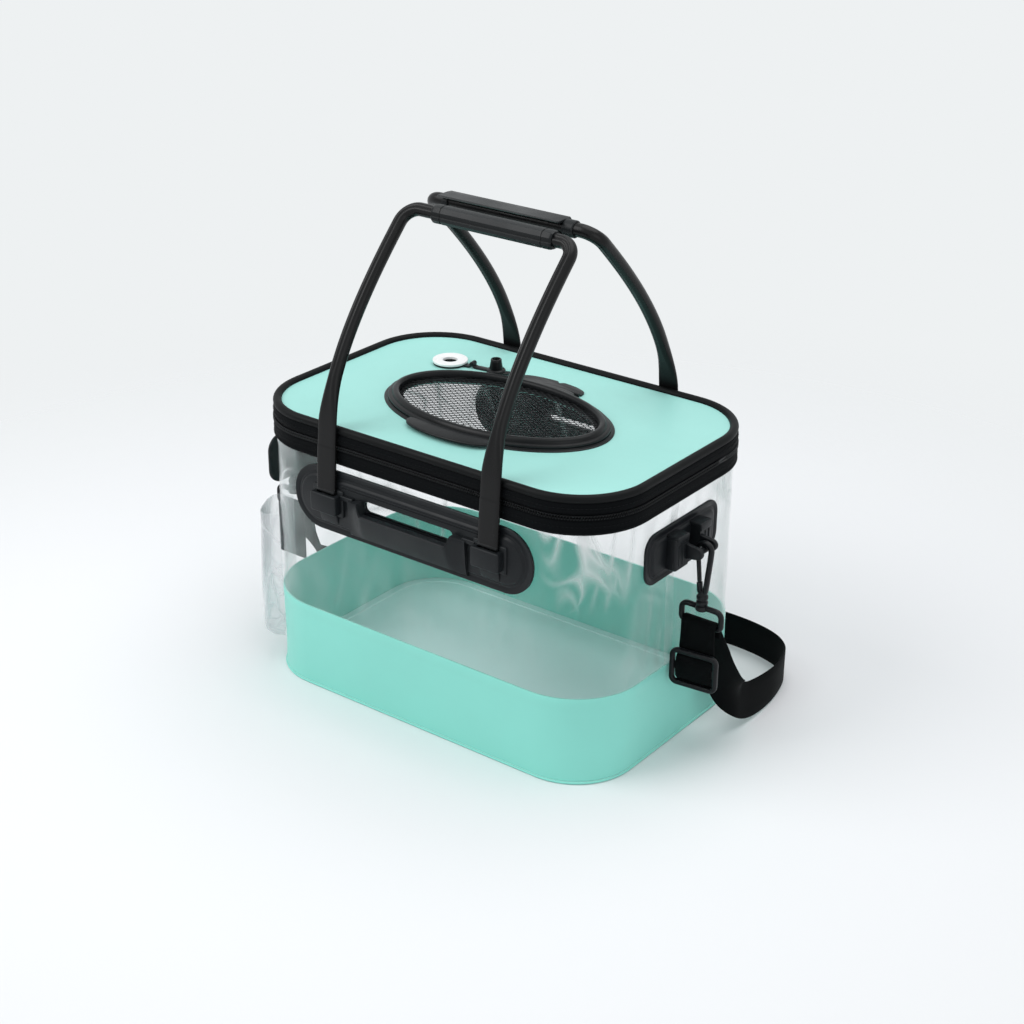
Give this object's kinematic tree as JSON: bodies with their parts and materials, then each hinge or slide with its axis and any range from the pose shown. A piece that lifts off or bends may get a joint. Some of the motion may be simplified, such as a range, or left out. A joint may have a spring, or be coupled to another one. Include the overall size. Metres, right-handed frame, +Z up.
{
  "type": "folding fishing bucket",
  "caption": "Soft folding fishing bucket with a clear wall, zipped lid with mesh hatch and air port, folding carry handles, welded grab plates and a hooked shoulder strap.",
  "frame": {"origin": "middle of the foot, on the surface that the bucket stands on", "axes": "+Z up, +X along the long side towards the side with the strap adjuster, -Y out of the front"},
  "size_m": [0.4316, 0.2884, 0.4043],
  "materials": {
    "mint_sheet": "satin welded foam sheet",
    "clear_sheet": "clear crinkled vinyl",
    "black_moulding": "fine moulded grain",
    "black_webbing": "woven webbing",
    "zip_tape": "woven zipper tape",
    "zip_coil": "zipper coil",
    "black_rubber": "satin rubber",
    "white_plastic": "smooth gloss",
    "mesh_net": "moulded net",
    "black_piping": "satin piping",
    "handle_tube": "folded and sewn cover",
    "grip_moulding": "fine moulded grain",
    "slider_metal": "black enamel"
  },
  "bodies": {
    "base": {"tub_floor": "mint_sheet", "floor_weld_bead": "mint_sheet", "tub_band": "mint_sheet", "clear_wall": "clear_sheet", "side_pocket": "clear_sheet", "strap_right_fall": "black_webbing", "strap_right_twist": "black_webbing", "strap_rear_run": "black_webbing", "strap_left_twist": "black_webbing", "strap_left_fall": "black_webbing"},
    "rim": {"lower_zip_tape": "zip_tape", "lower_zip_coil": "zip_coil", "lid_hinge_cord": "zip_tape", "front_plate": "black_moulding", "rear_plate": "black_moulding", "right_patch": "black_moulding", "left_patch": "black_moulding"},
    "lid": {"upper_zip_tape": "zip_tape", "upper_zip_coil": "zip_coil", "lid_piping": "black_piping", "lid_panel": "mint_sheet", "hatch_seat": "black_rubber", "hatch_hinge_tab": "black_rubber", "air_port": "white_plastic", "plug_tether": "black_rubber"},
    "hatch": {"hatch_frame": "black_rubber", "hatch_mesh": "mesh_net"},
    "plug": {"port_plug": "black_rubber"},
    "front_handle": {"front_handle_straps": "black_webbing", "front_handle_tube": "handle_tube", "front_grip": "grip_moulding"},
    "rear_handle": {"rear_handle_straps": "black_webbing", "rear_handle_tube": "handle_tube", "rear_clip_grip": "grip_moulding"},
    "adjuster": {"strap_adjuster": "black_moulding"},
    "front_slider": {"zip_slider_front": "slider_metal"},
    "front_pull": {"zip_pull_front": "slider_metal"},
    "rear_slider": {"zip_slider_rear": "slider_metal"},
    "rear_pull": {"zip_pull_rear": "slider_metal"},
    "right_hook": {"right_hook": "black_moulding"},
    "right_gate": {"right_hook_gate": "black_moulding"},
    "right_loop": {"right_swivel_loop": "black_moulding"},
    "left_hook": {"left_hook": "black_moulding"},
    "left_gate": {"left_hook_gate": "black_moulding"},
    "left_loop": {"left_swivel_loop": "black_moulding"}
  },
  "joints": [
    {"name": "tub_collapse", "type": "slide", "parent": "base", "child": "rim", "axis": [0, 0, -1], "range_m": [0, 0.09], "deforming": ["clear_wall", "side_pocket", "strap_right_fall", "strap_right_twist", "strap_rear_run", "strap_left_twist", "strap_left_fall"]},
    {"name": "lid_open", "type": "hinge", "parent": "rim", "child": "lid", "pos_m": [0, 0.1181, 0.226], "axis": [-1, 0, 0], "range_deg": [0, 100]},
    {"name": "front_handle_fold", "type": "hinge", "parent": "rim", "child": "front_handle", "pos_m": [0, -0.1216, 0.19], "axis": [1, 0, 0], "range_deg": [0, 85]},
    {"name": "rear_handle_fold", "type": "hinge", "parent": "rim", "child": "rear_handle", "pos_m": [0, 0.1216, 0.19], "axis": [-1, 0, 0], "range_deg": [0, 85]},
    {"name": "hatch_open", "type": "hinge", "parent": "lid", "child": "hatch", "pos_m": [0, 0.0587, 0.2415], "axis": [-1, 0, 0], "range_deg": [0, 75]},
    {"name": "plug_flip", "type": "hinge", "parent": "lid", "child": "plug", "pos_m": [-0.07627, 0.05894, 0.2431], "axis": [0.1564, -0.9877, 0], "range_deg": [0, 180]},
    {"name": "adjuster_drop", "type": "slide", "parent": "base", "child": "adjuster", "axis": [0, 0, -1], "range_m": [0, 0.045]},
    {"name": "right_hook_swing", "type": "hinge", "parent": "rim", "child": "right_hook", "pos_m": [0.1958, -0.005, 0.177], "axis": [0, -1, 0], "range_deg": [0, 80]},
    {"name": "right_loop_swivel", "type": "hinge", "parent": "right_hook", "child": "right_loop", "pos_m": [0.1958, -0.005, 0.1306], "axis": [0, 0, 1], "range_deg": [-90, 90]},
    {"name": "right_gate_press", "type": "hinge", "parent": "right_hook", "child": "right_gate", "pos_m": [0.19245, -0.005, 0.15095], "axis": [0, 1, 0], "range_deg": [0, 20], "stiffness_Nm_per_rad": 0.05},
    {"name": "left_hook_swing", "type": "hinge", "parent": "rim", "child": "left_hook", "pos_m": [-0.1958, -0.038, 0.177], "axis": [0, 1, 0], "range_deg": [0, 80]},
    {"name": "left_loop_swivel", "type": "hinge", "parent": "left_hook", "child": "left_loop", "pos_m": [-0.1958, -0.038, 0.1306], "axis": [0, 0, 1], "range_deg": [-90, 90]},
    {"name": "left_gate_press", "type": "hinge", "parent": "left_hook", "child": "left_gate", "pos_m": [-0.19245, -0.038, 0.15095], "axis": [0, -1, 0], "range_deg": [0, 20], "stiffness_Nm_per_rad": 0.05},
    {"name": "front_zip_slide", "type": "slide", "parent": "rim", "child": "front_slider", "axis": [0, -1, 0], "range_m": [0, 0.06]},
    {"name": "front_pull_lift", "type": "hinge", "parent": "front_slider", "child": "front_pull", "pos_m": [-0.1779, 0.014, 0.21995], "axis": [0, 1, 0], "range_deg": [0, 80]},
    {"name": "rear_zip_slide", "type": "slide", "parent": "rim", "child": "rear_slider", "axis": [0, 1, 0], "range_m": [0, 0.016]},
    {"name": "rear_pull_lift", "type": "hinge", "parent": "rear_slider", "child": "rear_pull", "pos_m": [-0.1779, 0.034, 0.21995], "axis": [0, 1, 0], "range_deg": [0, 80]}
  ],
  "couplings": [
    {"joint": "front_handle_fold", "follows": "lid_open", "ratio": 0.85},
    {"joint": "rear_handle_fold", "follows": "lid_open", "ratio": 0.85},
    {"joint": "adjuster_drop", "follows": "tub_collapse", "ratio": 0.5}
  ]
}
